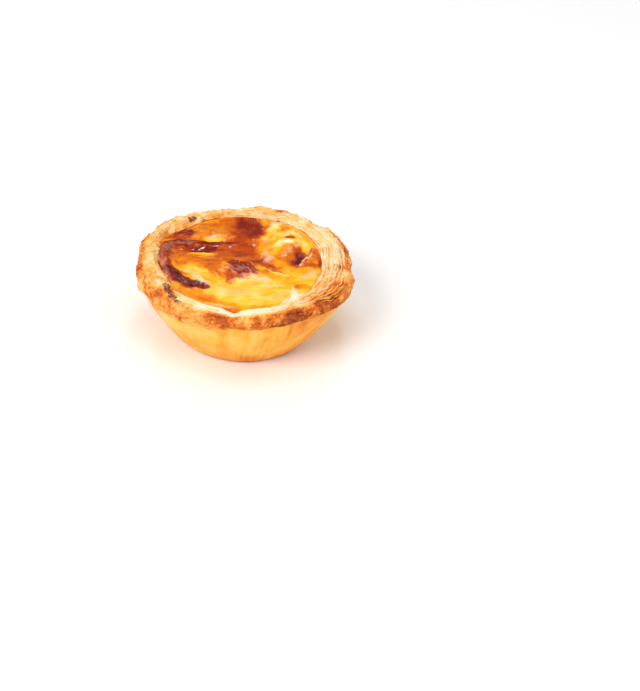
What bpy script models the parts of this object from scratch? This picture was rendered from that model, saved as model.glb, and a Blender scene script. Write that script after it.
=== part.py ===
"""An egg tart: a flaky pastry case with a thick rolled rim, filled with baked custard.

Metres, +Z up. The origin is the middle of the flat base. The seam where the ends of the rolled
dough overlap is at -Y, and the palest, widest layers of the rim are at +X.
"""

import math

import bpy
from mathutils import Vector, noise

# Driving dimensions
RIM_RADIUS = 0.0380  # widest line of the rim
LIP_RADIUS = 0.0297  # mean radius of the line where the rim meets the custard
FLAT_RADIUS = 0.0218  # of the base that the tart stands on
RIM_LINE_HEIGHT = 0.0240  # widest line of the rim above the base
RIM_TOP_HEIGHT = 0.0277  # mean height of the rim's top
RIM_CREST = 0.24  # how far across the rim its highest line lies
RIM_FULLNESS = 0.9  # of its rounded top: 1 is a plain oval, and less is squarer
RIM_FOOT = (0.0364, 0.0208)  # radius and height where the rim's underside meets the wall
RIM_UNDERSIDE_BULGE = 0.0004
LIP_STEP = 0.0007  # how far the custard's edge lies below the foot of the lip
WALL_LEAN = math.radians(40)  # from upright, at the foot of the wall
BOTTOM_EDGE_RADIUS = 0.0034
FLOOR_THICKNESS = 0.0024
INNER_FLOOR_RADIUS = 0.0200
INNER_WALL_BULGE = 0.0008
WALL_MIDDLE_RADIUS = 0.0213  # the cone halfway through the wall: its radius at the base,
WALL_MIDDLE_SLOPE = 0.51  # and how fast that grows with height
CUSTARD_EDGE_HEIGHT = 0.0252
CUSTARD_RISE = 0.0004  # how far the middle of the custard stands above its edge
CUSTARD_LEVEL_BAND = (0.82, 1.0)  # the share of its radius over which swells die out
FIT_GAP = 0.0003  # between the custard and the pastry

# How the hand-pressed rim leaves the round: angle and half width in degrees, and how far it goes
RIM_PUSHES = ((-24, 16, 0.0014), (6, 12, -0.0010), (38, 18, 0.0012), (78, 14, 0.0005), (110, 18, -0.0005),
              (145, 20, 0.0007), (-176, 18, -0.0007))
RIM_LIFTS = ((76, 18, 0.0004), (30, 25, -0.0003), (108, 22, -0.0007), (150, 26, 0.0003), (-60, 20, 0.0003))
OPENING_STRETCH = 0.0016  # the opening is longer along Y than along X
OPENING_SHIFT = 0.0011  # and lies towards -X, so the rim is widest at +X
LIP_PUSHES = ((56, 18, 0.0014), (134, 9, -0.0012), (160, 12, 0.0018), (-152, 18, -0.0019), (-20, 14, -0.0007))
SEAM_ANGLE = -92  # where the two ends of the rolled dough overlap
SEAM_HALF_WIDTH = 9
SEAM_DIP = 0.0020
SEAM_FADE = 0.6  # how much of the dip is lost on the way out to the widest line
SEAM_PUSH = 0.0016
FLAP_ANGLE = -47  # a leaf of the rim that leans in over the custard
FLAP_HALF_WIDTH = 10
FLAP_REACH = 0.0032
FLAP_LIFT = 0.0008
LEAF_COUNT = 5  # coarse leaves of dough across the rim
LEAF_RELIEF = 0.0004
LEAF_WANDER = 0.35  # how far the leaves' edges wander, in leaves
CRUMB_SIZE = 0.0038
CRUMB_RELIEF = 0.0009
LIP_RIPPLE = 0.0004
LIP_RIPPLES, RIPPLE_SPELLS = 11, 3  # ripples in a turn, and how often in a turn they come and go
OUTER_BAND = (0.45, 0.8)  # the share of the rim's width over which crumbs grow to full size
LIP_BAND = (0.3, 0.75)  # the share over which the lip's own shaping dies out
PRESSED_BAND = (-0.6, 0.8)  # the share over which the rim's pushes come in

TURN_STEPS = 88
WALL_POINTS = 5
RIM_POINTS = 22
CUSTARD_RINGS = 10
MERGE_DISTANCE = 0.00001
ON_AXIS = 0.000001  # nearer the axis than this counts as on it
SHARP_ANGLE = math.radians(40)

# Swells and hollows of the baked custard: middle X and Y, half length and half width, turn in
# degrees, and height, which is negative for a hollow
CUSTARD_SWELLS = (
    (-0.0200, 0.0155, 0.0100, 0.0028, 8, 0.0011),  # the fold behind the long crease
    (-0.0170, 0.0085, 0.0110, 0.0022, 10, -0.0008),  # the hollow in front of it
    (-0.0020, 0.0120, 0.0060, 0.0050, 0, -0.0009),
    (0.0000, 0.0240, 0.0050, 0.0050, 0, -0.0006),
    (0.0110, 0.0190, 0.0060, 0.0070, 20, 0.0009),
    (0.0130, 0.0100, 0.0060, 0.0040, -30, 0.0006),
    (0.0195, 0.0060, 0.0030, 0.0055, 0, -0.0012),  # the scorched pit
    (-0.0030, -0.0045, 0.0075, 0.0045, -8, 0.0009),
    (0.0110, -0.0040, 0.0060, 0.0024, -12, 0.0006),
    (-0.0150, -0.0120, 0.0060, 0.0030, -35, 0.0008),
    (0.0020, -0.0180, 0.0140, 0.0070, 4, 0.0005),
)


def eased(value, low, high):
    """0 up to low, 1 from high, and a smooth slope between."""
    share = min(1.0, max(0.0, (value - low) / (high - low)))
    return share * share * (3 - 2 * share)


def bell(angle, middle, half_width):
    """1 at the middle, falling smoothly to nothing on both sides. The last two are in degrees."""
    apart = math.remainder(angle - math.radians(middle), math.tau)
    return math.exp(-((apart / math.radians(half_width)) ** 2))


def bells(angle, table):
    return sum(height * bell(angle, middle, half_width) for middle, half_width, height in table)


def arc(middle, radius, start, end, count):
    """Points on a round corner of the section, both ends included. Angles are in degrees."""
    points = []
    for step in range(count):
        angle = math.radians(start + (end - start) * step / (count - 1))
        points.append((middle[0] + radius * math.cos(angle), middle[1] + radius * math.sin(angle)))
    return points


def rim_outline():
    """The rim's section from the lip over the top to the widest line: two quarter ovals that share a top."""
    top_radius = LIP_RADIUS + RIM_CREST * (RIM_RADIUS - LIP_RADIUS)
    points = []
    for step in range(RIM_POINTS):
        angle = math.pi * (1 - step / (RIM_POINTS - 1))
        if angle > math.pi / 2:
            half_width, foot = top_radius - LIP_RADIUS, CUSTARD_EDGE_HEIGHT + LIP_STEP
        else:
            half_width, foot = RIM_RADIUS - top_radius, RIM_LINE_HEIGHT
        rise = abs(math.sin(angle)) ** RIM_FULLNESS
        points.append((top_radius + half_width * math.cos(angle), foot + (RIM_TOP_HEIGHT - foot) * rise))
    return points


def outer_wall():
    """From the rim's foot down to the bottom edge: a curve that sets off at the edge's own slope."""
    start = arc((FLAT_RADIUS, BOTTOM_EDGE_RADIUS), BOTTOM_EDGE_RADIUS, -math.degrees(WALL_LEAN), -90, 4)
    low, high = Vector(start[0]), Vector(RIM_FOOT)
    middle = low + Vector((math.sin(WALL_LEAN), math.cos(WALL_LEAN))) * (high - low).length / 2
    wall = []
    for step in range(WALL_POINTS):
        share = step / WALL_POINTS
        point = high * (1 - share) ** 2 + middle * 2 * share * (1 - share) + low * share**2
        wall.append((point.x, point.y))
    return wall + start


def inner_wall(start, end):
    """From start up to end, the last left out, swelling a little outwards."""
    points = []
    for step in range(WALL_POINTS - 1):
        share = step / (WALL_POINTS - 1)
        radius = start[0] + (end[0] - start[0]) * share + INNER_WALL_BULGE * math.sin(math.pi * share)
        points.append((radius, start[1] + (end[1] - start[1]) * share))
    return points


def case_profile():
    """From the axis along the floor, up the inside, over the rim and down the outside to the axis."""
    floor = [(0.0, FLOOR_THICKNESS), (INNER_FLOOR_RADIUS / 2, FLOOR_THICKNESS)]
    inside = inner_wall((INNER_FLOOR_RADIUS, FLOOR_THICKNESS), (LIP_RADIUS, CUSTARD_EDGE_HEIGHT))
    under_rim = ((RIM_RADIUS + RIM_FOOT[0]) / 2 + RIM_UNDERSIDE_BULGE, (RIM_LINE_HEIGHT + RIM_FOOT[1]) / 2)
    rim = [(LIP_RADIUS, CUSTARD_EDGE_HEIGHT), *rim_outline(), under_rim]
    return floor + inside + rim + outer_wall() + [(0.0, 0.0)]


def custard_profile():
    """From the axis across the top, down the side that touches the pastry, and back along the floor."""
    edge_radius = LIP_RADIUS - FIT_GAP
    top = []
    for ring in range(CUSTARD_RINGS):
        radius = edge_radius * ring / CUSTARD_RINGS
        rise = CUSTARD_RISE * (1 - (radius / edge_radius) ** 2)
        top.append((radius, CUSTARD_EDGE_HEIGHT + rise))
    floor = FLOOR_THICKNESS + FIT_GAP
    side = inner_wall((INNER_FLOOR_RADIUS - FIT_GAP, floor), (edge_radius, CUSTARD_EDGE_HEIGHT))
    return top + [(edge_radius, CUSTARD_EDGE_HEIGHT)] + side[::-1] + [(0.0, floor)]


def across_rim(radius):
    return (radius - LIP_RADIUS) / (RIM_RADIUS - LIP_RADIUS)


def lip_push(angle):
    """How far the opening's edge lies outside its mean radius."""
    oval = -OPENING_STRETCH * math.cos(2 * angle) - OPENING_SHIFT * math.cos(angle)
    return oval + bells(angle, LIP_PUSHES)


def on_outer_wall(radius, height):
    return height <= RIM_FOOT[1] and radius > WALL_MIDDLE_RADIUS + WALL_MIDDLE_SLOPE * height


def pressed(radius, height, angle):
    """Moves a point of the round case to where the uneven one has it. The base and the middle stay true."""
    rim_share = eased(height, BOTTOM_EDGE_RADIUS, RIM_LINE_HEIGHT)
    lip_share = 0.0
    if not on_outer_wall(radius, height):
        rim_share *= eased(across_rim(radius), *PRESSED_BAND)
        lip_share = eased(height, FLOOR_THICKNESS, CUSTARD_EDGE_HEIGHT) * min(1.0, radius / LIP_RADIUS)
        lip_share *= 1 - eased(across_rim(radius), 0, 1)
    new_radius = radius + rim_share * bells(angle, RIM_PUSHES) + lip_share * lip_push(angle)
    return new_radius, height + rim_share * bells(angle, RIM_LIFTS)


def case_point(radius, height, angle):
    """A point of the turned case with the seam, the leaning leaf, the layers and the crumbs worked in."""
    across = across_rim(radius)
    from_lip = eased(height, CUSTARD_EDGE_HEIGHT, RIM_TOP_HEIGHT)
    from_edge = eased(across, RIM_CREST, 2 * RIM_CREST) * eased(height, RIM_FOOT[1], RIM_LINE_HEIGHT)
    on_top = max(from_lip, from_edge)
    on_edge = from_edge * eased(across, *OUTER_BAND)
    near_lip = on_top * (1 - eased(across, *LIP_BAND))
    new_radius, new_height = pressed(radius, height, angle)
    seam = bell(angle, SEAM_ANGLE, SEAM_HALF_WIDTH)
    flap = bell(angle, FLAP_ANGLE, FLAP_HALF_WIDTH)
    ripple = math.sin(LIP_RIPPLES * angle) * math.sin(RIPPLE_SPELLS * angle + 1)
    new_radius += near_lip * (SEAM_PUSH * seam - FLAP_REACH * flap + LIP_RIPPLE * ripple)
    new_height += on_top * (FLAP_LIFT * flap - SEAM_DIP * seam * (1 - SEAM_FADE * across))
    wander = LEAF_WANDER * (math.sin(2 * angle + 0.5) + 0.6 * math.sin(5 * angle + 2))
    new_height += LEAF_RELIEF * on_top * math.cos(math.tau * (LEAF_COUNT * across + wander))
    place = Vector((math.cos(angle) * radius, math.sin(angle) * radius, height))
    crumb = noise.noise(place / CRUMB_SIZE) + 0.5 * noise.noise(place / (0.5 * CRUMB_SIZE))
    new_radius += CRUMB_RELIEF * crumb * on_edge
    new_height += 0.5 * CRUMB_RELIEF * crumb * on_top
    return new_radius, new_height


def custard_point(radius, height, angle):
    """A point of the turned custard, with the swells worked into its top."""
    edge_radius = LIP_RADIUS - FIT_GAP
    new_radius, new_height = pressed(radius, height, angle)
    if height < CUSTARD_EDGE_HEIGHT:
        return new_radius, new_height
    spot = Vector((radius * math.cos(angle), radius * math.sin(angle)))
    inward = 1 - eased(radius / edge_radius, *CUSTARD_LEVEL_BAND)
    for middle_x, middle_y, half_length, half_width, turn, rise in CUSTARD_SWELLS:
        apart = spot - Vector((middle_x, middle_y))
        along = Vector((math.cos(math.radians(turn)), math.sin(math.radians(turn))))
        share = math.exp(-((apart.dot(along) / half_length) ** 2) - (along.cross(apart) / half_width) ** 2)
        new_height += inward * rise * share
    return new_radius, new_height


def principled(name, colour, roughness):
    material = bpy.data.materials.new(name)
    material.use_nodes = True
    shader = material.node_tree.nodes["Principled BSDF"]
    shader.inputs["Base Color"].default_value = (*colour, 1)
    shader.inputs["Roughness"].default_value = roughness
    shader.inputs["Metallic"].default_value = 0.0
    return material


def turned(name, profile, shape_point, material, collection):
    """Turns a profile about Z with a Screw modifier, applies it, and moves each point by shape_point."""
    guide = bpy.data.meshes.new(name + "_profile")
    edges = [(index, index + 1) for index in range(len(profile) - 1)]
    guide.from_pydata([(radius, 0, height) for radius, height in profile], edges, [])
    turned_object = bpy.data.objects.new(name, guide)
    collection.objects.link(turned_object)
    screw = turned_object.modifiers.new("turn", "SCREW")
    screw.axis = "Z"
    screw.steps = screw.render_steps = TURN_STEPS
    screw.use_merge_vertices = True
    screw.merge_threshold = MERGE_DISTANCE
    graph = bpy.context.evaluated_depsgraph_get()
    mesh = bpy.data.meshes.new_from_object(turned_object.evaluated_get(graph), depsgraph=graph)
    turned_object.modifiers.clear()
    turned_object.data = mesh
    bpy.data.meshes.remove(guide)
    for vertex in mesh.vertices:
        from_axis = math.hypot(vertex.co.x, vertex.co.y)
        angle = math.atan2(vertex.co.y, vertex.co.x) if from_axis > ON_AXIS else 0.0
        radius, height = shape_point(from_axis, vertex.co.z, angle)
        radius = radius if from_axis > ON_AXIS else 0.0
        vertex.co = (radius * math.cos(angle), radius * math.sin(angle), height)
    mesh.materials.append(material)
    mesh.shade_smooth()
    mesh.set_sharp_from_angle(angle=SHARP_ANGLE)
    return turned_object


def main():
    for leftover in list(bpy.data.objects):
        bpy.data.objects.remove(leftover)
    tart = bpy.data.collections.new("egg_tart")
    bpy.context.scene.collection.children.link(tart)
    crust = principled("baked_pastry", (0.86, 0.50, 0.16), 0.75)
    filling = principled("baked_custard", (0.91, 0.47, 0.07), 0.25)
    turned("pastry_case", case_profile(), case_point, crust, tart)
    turned("custard", custard_profile(), custard_point, filling, tart)


main()
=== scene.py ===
import math

import bmesh
import bpy
import numpy as np
from mathutils import Matrix, Vector


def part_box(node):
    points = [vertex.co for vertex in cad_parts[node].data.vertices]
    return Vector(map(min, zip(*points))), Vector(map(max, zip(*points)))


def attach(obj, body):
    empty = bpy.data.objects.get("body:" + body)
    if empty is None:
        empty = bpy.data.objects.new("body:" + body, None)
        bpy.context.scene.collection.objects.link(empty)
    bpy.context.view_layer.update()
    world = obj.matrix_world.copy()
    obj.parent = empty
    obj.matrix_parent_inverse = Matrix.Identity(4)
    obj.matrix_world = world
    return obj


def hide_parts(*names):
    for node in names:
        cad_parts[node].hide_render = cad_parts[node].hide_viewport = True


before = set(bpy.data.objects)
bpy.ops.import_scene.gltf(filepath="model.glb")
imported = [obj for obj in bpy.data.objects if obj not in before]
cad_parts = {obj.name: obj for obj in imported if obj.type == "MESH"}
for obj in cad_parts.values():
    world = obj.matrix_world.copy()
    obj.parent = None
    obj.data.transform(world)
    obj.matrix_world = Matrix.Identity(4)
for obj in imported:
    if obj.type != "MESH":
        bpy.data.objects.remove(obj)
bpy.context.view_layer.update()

# An egg tart: a rolled, flaky rim on a smooth pastry case, full of scorched custard.
# Lengths are in millimetres until a mesh is made. X is to the right, Y away and Z up, and an angle
# round the tart starts at +X and grows towards +Y. Angles in the tables are in degrees.

MM = 0.001
case_low, case_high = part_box("pastry_case")

PRESSED_IN = 0.2  # the uneven rim is this much narrower than the round one it was pressed from
RIM_RADIUS = (case_high.x - case_low.x) / 2 / MM + PRESSED_IN  # widest line of the rim
LIP_RADIUS = 0.782 * RIM_RADIUS  # mean radius of the line where rim and custard meet
CUSTARD_HEIGHT = 25.2
CASE_TOP_HEIGHT = CUSTARD_HEIGHT - 1.6  # where the smooth case ends, hidden in the rim
LIP_FOOT_HEIGHT = 24.7  # where the rim comes out of the custard
RIM_LINE_HEIGHT = 24.0  # of the widest line
RIM_TOP_HEIGHT = 27.7
RIM_FOOT_RADIUS, RIM_FOOT_HEIGHT = 36.5, 20.6
FLAT_RADIUS = 21.8  # of the base
BOTTOM_EDGE_RADIUS = 3.4
WALL_LEAN = math.radians(40)
FLOOR_THICKNESS = 2.4
INNER_FLOOR_RADIUS = 20.0
PATTERN_RADIUS = 33.0  # of the circle where the sizes of patterns round the tart are true

# How the hand-pressed rim leaves the round: middle angle, half width, and how far it goes
RIM_PUSHES = ((-24, 16, 1.4), (6, 12, -1.0), (38, 18, 1.2), (78, 14, 0.5), (110, 18, -0.5),
              (145, 20, 0.7), (-176, 18, -0.7))
RIM_LIFTS = ((76, 18, 0.4), (30, 25, -0.3), (108, 22, -0.7), (150, 26, 0.3), (-60, 20, 0.3))
FOOT_LIFTS = ((-50, 34, 3.1), (-92, 12, 1.2), (-142, 22, -1.2))  # of the line where rim and wall meet
WALL_TOP_SLOPE = 0.41  # radius that the wall gains for each millimetre of height at its top
OPENING_STRETCH, OPENING_SHIFT = 1.6, 1.1
LIP_PUSHES = ((56, 18, 1.4), (134, 9, -1.2), (160, 12, 1.8), (-152, 18, -1.9), (-20, 14, -0.7),
              (-92, 4, 1.1))
SEAM_ANGLE, SEAM_HALF_WIDTH, SEAM_DIP = -92, 6, 1.5
CREST_SHARE = 0.30  # how far out the rim's highest line is
CREST_PUSHES = ((15, 55, 0.22), (-90, 40, 0.08), (-45, 14, -0.08))
GENTLE_SLOPES = ((20, 55, 0.7), (100, 35, 0.4), (180, 45, 0.7))  # where custard runs up onto the rim

chance = np.random.default_rng(11)
SHUFFLE = chance.permutation(256)
LEANS = chance.normal(size=(256, 3))
LEANS /= np.linalg.norm(LEANS, axis=1)[:, None]


# ---- small tools for shapes

def eased(value, low, high):
    """0 up to low, 1 from high, and a smooth slope between."""
    share = np.clip((value - low) / (high - low), 0, 1)
    return share * share * (3 - 2 * share)


def bell(angle, middle, half_width):
    """1 at the middle, falling smoothly on both sides. The angle is in radians, the rest in degrees."""
    apart = (angle - math.radians(middle) + math.pi) % math.tau - math.pi
    return np.exp(-((apart / math.radians(half_width)) ** 2))


def bells(angle, table):
    """The sum of the bells in a table of middle angles, half widths and heights."""
    return sum(height * bell(angle, middle, half_width) for middle, half_width, height in table)


def covered(angle, table):
    """The sum of bells, which stops at 1 where they overlap."""
    return np.clip(bells(angle, table), 0, 1)


def lumps(points, size, seed=0):
    """Smooth noise from about -1 to 1, with lumps and dips of about this size."""
    place = points / size + seed * np.array((13.7, 5.3, 9.1))
    cell = np.floor(place).astype(int)
    part = place - cell
    fade = part**3 * (part * (part * 6 - 15) + 10)
    total = np.zeros(len(points))
    for corner in np.ndindex(2, 2, 2):
        x, y, z = ((cell + corner) & 255).T
        lean = LEANS[SHUFFLE[(SHUFFLE[(SHUFFLE[x] + y) & 255] + z) & 255]]
        share = np.prod(np.where(corner, fade, 1 - fade), axis=1)
        total += share * np.einsum("ij,ij->i", lean, part - corner)
    return 1.6 * total


def rough(points, size, octaves, seed=0):
    """Lumps with ever finer lumps on them."""
    return sum(lumps(points, size / 2**n, seed + n) / 1.8**n for n in range(octaves))


def crumbled(points, size, octaves, seed=0):
    """Rounded crumbs with sharp gaps between them, from about 0 in the gaps to 1."""
    return sum(1.9 * np.abs(lumps(points, size / 2**n, seed + n)) / 2**n for n in range(octaves)) / 1.6


def flaked(points, size, steps, seed=0):
    """Broken layers, as the height of level patches with short slopes between them, and as a number that
    is 1 along the upper edge of a slope."""
    level = steps * rough(points, size, 3, seed)
    share = level % 1
    return (np.floor(level) + eased(share, 0, 0.35)) / steps, np.exp(-(((share - 0.35) / 0.16) ** 2))


def creased(points, size, seed=0):
    """Sharp little ridges with smooth hollows between them, from 0 to 1."""
    return np.clip(1 - 2.6 * np.abs(lumps(points, size, seed)), 0, 1) ** 1.5


def wrapped(angle, along, around_size, along_size):
    """Points for noise that closes round the tart, longer one way than the other."""
    turn = PATTERN_RADIUS / around_size
    return np.stack((turn * np.cos(angle), turn * np.sin(angle), along / along_size), axis=-1)


def ring_lumps(angle, along, around_size, along_size, seed):
    """Lumps that close round the tart, of one size round it and of another across."""
    return lumps(wrapped(angle, along, around_size, along_size), 1, seed)


def turned(radius, height, angle):
    """Points from radius, height and angle."""
    return np.stack((radius * np.cos(angle), radius * np.sin(angle), height), axis=-1).reshape(-1, 3)


def srgb(code):
    """A hex colour as linear red, green, blue and alpha."""
    shown = [int(code[at : at + 2], 16) / 255 for at in (1, 3, 5)]
    return (*[c / 12.92 if c <= 0.04045 else ((c + 0.055) / 1.055) ** 2.4 for c in shown], 1)


def piece(name, points, faces, material, marks, node=None):
    """A smooth mesh from points in millimetres. A mark has a number for each point, or one for all."""
    mesh = bpy.data.meshes.new(name)
    mesh.from_pydata((points * MM).tolist(), [], faces)
    for mark, values in marks.items():
        numbers = np.ascontiguousarray(np.broadcast_to(values, len(points)), np.float32)
        mesh.attributes.new(mark, "FLOAT", "POINT").data.foreach_set("value", numbers)
    mesh.materials.append(material)
    mesh.shade_smooth()
    made = bpy.data.objects.new(name, mesh)
    bpy.context.scene.collection.objects.link(made)
    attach(made, "root")
    if node:
        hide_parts(node)
    return made


def ring_faces(turns, points_each, closed):
    """Quads between the sections of a ring, numbered section by section. A closed section joins its
    last point to its first."""
    turn, at = np.meshgrid(np.arange(turns), np.arange(points_each - (not closed)), indexing="ij")
    after, above = (turn + 1) % turns, (at + 1) % points_each
    corners = (turn * points_each + at, after * points_each + at, after * points_each + above,
               turn * points_each + above)
    return np.stack([corner.ravel() for corner in corners], axis=-1).tolist()


def sheet_faces(rows, columns):
    """Quads over a sheet of points, numbered row by row, and the points of its outline in order."""
    at = np.arange(rows * columns).reshape(rows, columns)
    quads = np.stack((at[:-1, :-1], at[1:, :-1], at[1:, 1:], at[:-1, 1:]), axis=-1).reshape(-1, 4)
    outline = np.concatenate((at[:-1, 0], at[-1, :-1], at[:0:-1, -1], at[0, :0:-1]))
    return quads, outline


def band_faces(first, second, closed=True):
    """Quads between two lines of points. Closed lines join their last points to their first."""
    quads = np.stack((first, np.roll(first, -1), np.roll(second, -1), second), axis=-1).tolist()
    return quads if closed else quads[:-1]


# ---- materials

def node(tree, kind, settings=None, values=None, links=None, stops=()):
    """Adds a node with its settings, its sockets' values, its links from others, and a ramp's stops."""
    made = tree.nodes.new(kind)
    for name, value in (settings or {}).items():
        setattr(made, name, value)
    for place, value in (values or {}).items():
        made.inputs[place].default_value = value
    for place, output in (links or {}).items():
        tree.links.new(output, made.inputs[place])
    for _ in stops[2:]:
        made.color_ramp.elements.new(0.5)
    for number, (place, code) in enumerate(stops):
        made.color_ramp.elements[number].position = place
        made.color_ramp.elements[number].color = srgb(code)
    return made


def started(name, surface, marks, noises):
    """A new material with its surface's values. It also returns what its colours are made from: each
    point's place, the marks on the mesh, and noises by lump size in millimetres, detail and distortion."""
    material = bpy.data.materials.new(name)
    material.use_nodes = True
    tree = material.node_tree
    shader = tree.nodes["Principled BSDF"]
    for socket, value in surface.items():
        shader.inputs[socket].default_value = value
    place = node(tree, "ShaderNodeTexCoord").outputs["Object"]
    made = [node(tree, "ShaderNodeAttribute", {"attribute_name": mark}) for mark in marks]
    for size, detail, distortion in noises:
        values = {"Scale": 1 / (size * MM), "Detail": detail, "Distortion": distortion}
        made.append(node(tree, "ShaderNodeTexNoise", values=values, links={"Vector": place}))
    return material, tree, shader, place, [source.outputs["Fac"] for source in made]


def uneven(tree, level, *noises):
    """A level that each noise takes up and down, by its swing from lowest to highest."""
    for noise, swing in noises:
        shift = node(tree, "ShaderNodeMath", {"operation": "MULTIPLY_ADD"},
                     {1: swing, 2: -swing / 2}, {0: noise}).outputs[0]
        level = node(tree, "ShaderNodeMath", {"operation": "ADD"}, links={0: level, 1: shift}).outputs[0]
    return level


def patched(tree, plain, code, share, noise, contrast, shift):
    """The plain colour, with another one over it as far as share says, broken up by a noise."""
    broken = node(tree, "ShaderNodeMath", {"operation": "MULTIPLY_ADD"},
                  {1: contrast, 2: shift}, {0: noise}).outputs[0]
    cover = node(tree, "ShaderNodeMath", {"operation": "MULTIPLY", "use_clamp": True},
                 links={0: share, 1: broken}).outputs[0]
    mixed = node(tree, "ShaderNodeMix", {"data_type": "RGBA"}, {7: srgb(code)}, {0: cover, 6: plain})
    return mixed.outputs[2]


def surfaced(tree, shader, colour, relief, strength, depth):
    """Links a colour to the shader, and a relief as bumps of this depth in millimetres."""
    bump = node(tree, "ShaderNodeBump", values={"Strength": strength, "Distance": depth * MM},
                links={"Height": relief}).outputs["Normal"]
    tree.links.new(colour, shader.inputs["Base Color"])
    tree.links.new(bump, shader.inputs["Normal"])


PASTRY_STOPS = ((0.0, "#fff0d4"), (0.15, "#fae0b6"), (0.30, "#f6ca8a"), (0.44, "#f4b256"),
                (0.57, "#ec8e30"), (0.69, "#d26816"), (0.80, "#a2420e"), (0.90, "#6e280c"),
                (1.0, "#40150a"))
CHAR_COLOUR = "#6e2419"
BLOTCH_SIZE, CRUMB_SIZE, GRAIN_SIZE = 3.6, 0.7, 0.4


def flaky_pastry():
    """Laminated dough baked with butter: pale where its leaves lie open, golden to brown where the
    heat caught it, dry and matte, with crumbs finer than the mesh. Its colour also holds painted shade
    between crumbs and leaves, and painted light on their tops and edges."""
    surface = {"Roughness": 0.6, "Specular IOR Level": 0.3, "Subsurface Weight": 0.10,
               "Subsurface Scale": 0.8 * MM, "Subsurface Radius": (1.0, 0.55, 0.25)}
    noises = ((BLOTCH_SIZE, 6.0, 0), (CRUMB_SIZE, 3.0, 0), (GRAIN_SIZE, 4.0, 0))
    material, tree, shader, _, sources = started("flaky_pastry", surface, ("browned_and_shading", "charred"), noises)
    browned_and_shading, charred, blotches, crumbs, grain = sources
    level = uneven(tree, browned_and_shading, (blotches, 0.40), (crumbs, 0.22))
    crust = node(tree, "ShaderNodeValToRGB", links={"Fac": level}, stops=PASTRY_STOPS).outputs["Color"]
    colour = patched(tree, crust, CHAR_COLOUR, charred, crumbs, 2.2, -0.2)
    surfaced(tree, shader, colour, grain, 0.5, 0.12)
    return material


WALL_STOPS = ((0.0, "#ffe8ac"), (0.22, "#ffd26e"), (0.42, "#febb40"), (0.58, "#f9a026"),
              (0.72, "#ea8216"), (0.86, "#cc6614"), (1.0, "#9c4610"))
WALL_CLOUD_SIZE = 7.0
STREAK_WIDTH, STREAK_LENGTH = 1.8, 6.0  # marks of the dough's folds, which run up the wall


def tin_baked_pastry():
    """The same dough where it lay against a buttered tin: smooth, evenly golden, with a faint fat
    shine and the marks of the folds it was pressed from."""
    surface = {"Roughness": 0.46, "Specular IOR Level": 0.2, "Subsurface Weight": 0.10,
               "Subsurface Scale": 1.2 * MM, "Subsurface Radius": (1.0, 0.55, 0.25)}
    noises = ((WALL_CLOUD_SIZE, 5.0, 0.8),)
    material, tree, shader, place, sources = started("tin_baked_pastry", surface, ("browned_and_shading",), noises)
    browned_and_shading, clouds = sources
    level_place = node(tree, "ShaderNodeMapping", values={"Scale": (1, 1, 0)}, links={"Vector": place})
    around = node(tree, "ShaderNodeVectorMath", {"operation": "NORMALIZE"},
                  links={0: level_place.outputs[0]})
    up_wall = node(tree, "ShaderNodeMapping",
                   values={"Scale": (0, 0, STREAK_WIDTH / STREAK_LENGTH / PATTERN_RADIUS)},
                   links={"Vector": place})
    on_wall = node(tree, "ShaderNodeVectorMath", {"operation": "ADD"},
                   links={0: around.outputs[0], 1: up_wall.outputs[0]})
    streaks = node(tree, "ShaderNodeTexNoise",
                   values={"Scale": PATTERN_RADIUS / STREAK_WIDTH, "Detail": 4.0, "Distortion": 0.7},
                   links={"Vector": on_wall.outputs[0]}).outputs["Fac"]
    level = uneven(tree, browned_and_shading, (clouds, 0.38), (streaks, 0.20))
    crust = node(tree, "ShaderNodeValToRGB", links={"Fac": level}, stops=WALL_STOPS).outputs["Color"]
    surfaced(tree, shader, crust, streaks, 0.35, 0.10)
    return material


CUSTARD_STOPS = ((0.0, "#fff3d2"), (0.10, "#fee19a"), (0.20, "#fdcd50"), (0.30, "#fab418"),
                 (0.42, "#ee9202"), (0.54, "#d46402"), (0.65, "#ae3e02"), (0.76, "#861a01"),
                 (0.87, "#4e0c06"), (1.0, "#240706"))
# pale dry skin, used as well for painted highlights, glare and sheen on the custard
DRY_SKIN_AND_HIGHLIGHT_COLOUR = "#fcdfc0"
CUSTARD_CLOUD_SIZE, SPECK_SIZE, FINE_WRINKLE_SIZE = 4.5, 0.8, 0.7


def baked_custard():
    """Egg custard under a skin of scorched sugar: wet and glossy, yellow and amber where the egg shows
    through, dark caramel on the folds, and dull and pale where the skin is dry. Its colours also hold
    painted highlights, sheen and shade on wrinkles, ridges and folds."""
    surface = {"IOR": 1.42, "Specular IOR Level": 0.14, "Coat Weight": 0.4, "Coat Roughness": 0.05,
               "Subsurface Weight": 0.12, "Subsurface Scale": 1.2 * MM,
               "Subsurface Radius": (1.0, 0.5, 0.15)}
    noises = ((CUSTARD_CLOUD_SIZE, 5.0, 0.8), (SPECK_SIZE, 3.0, 0), (FINE_WRINKLE_SIZE, 3.0, 0))
    material, tree, shader, _, sources = started("baked_custard", surface, ("scorched_and_shading", "dry_skin_and_highlights"), noises)
    scorched_and_shading, dry_skin_and_highlights, clouds, specks, wrinkles = sources
    level = uneven(tree, scorched_and_shading, (clouds, 0.16), (specks, 0.07))
    sugar = node(tree, "ShaderNodeValToRGB", links={"Fac": level}, stops=CUSTARD_STOPS).outputs["Color"]
    # a pale film over the colour: dry skin in places, painted highlights and sheen in others
    colour = patched(tree, sugar, DRY_SKIN_AND_HIGHLIGHT_COLOUR, dry_skin_and_highlights, specks, 1.0, 0.5)
    gloss = node(tree, "ShaderNodeMapRange", values={"To Min": 0.26, "To Max": 0.5}, links={"Value": dry_skin_and_highlights})
    tree.links.new(gloss.outputs["Result"], shader.inputs["Roughness"])
    surfaced(tree, shader, colour, wrinkles, 0.18, 0.06)
    return material


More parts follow.
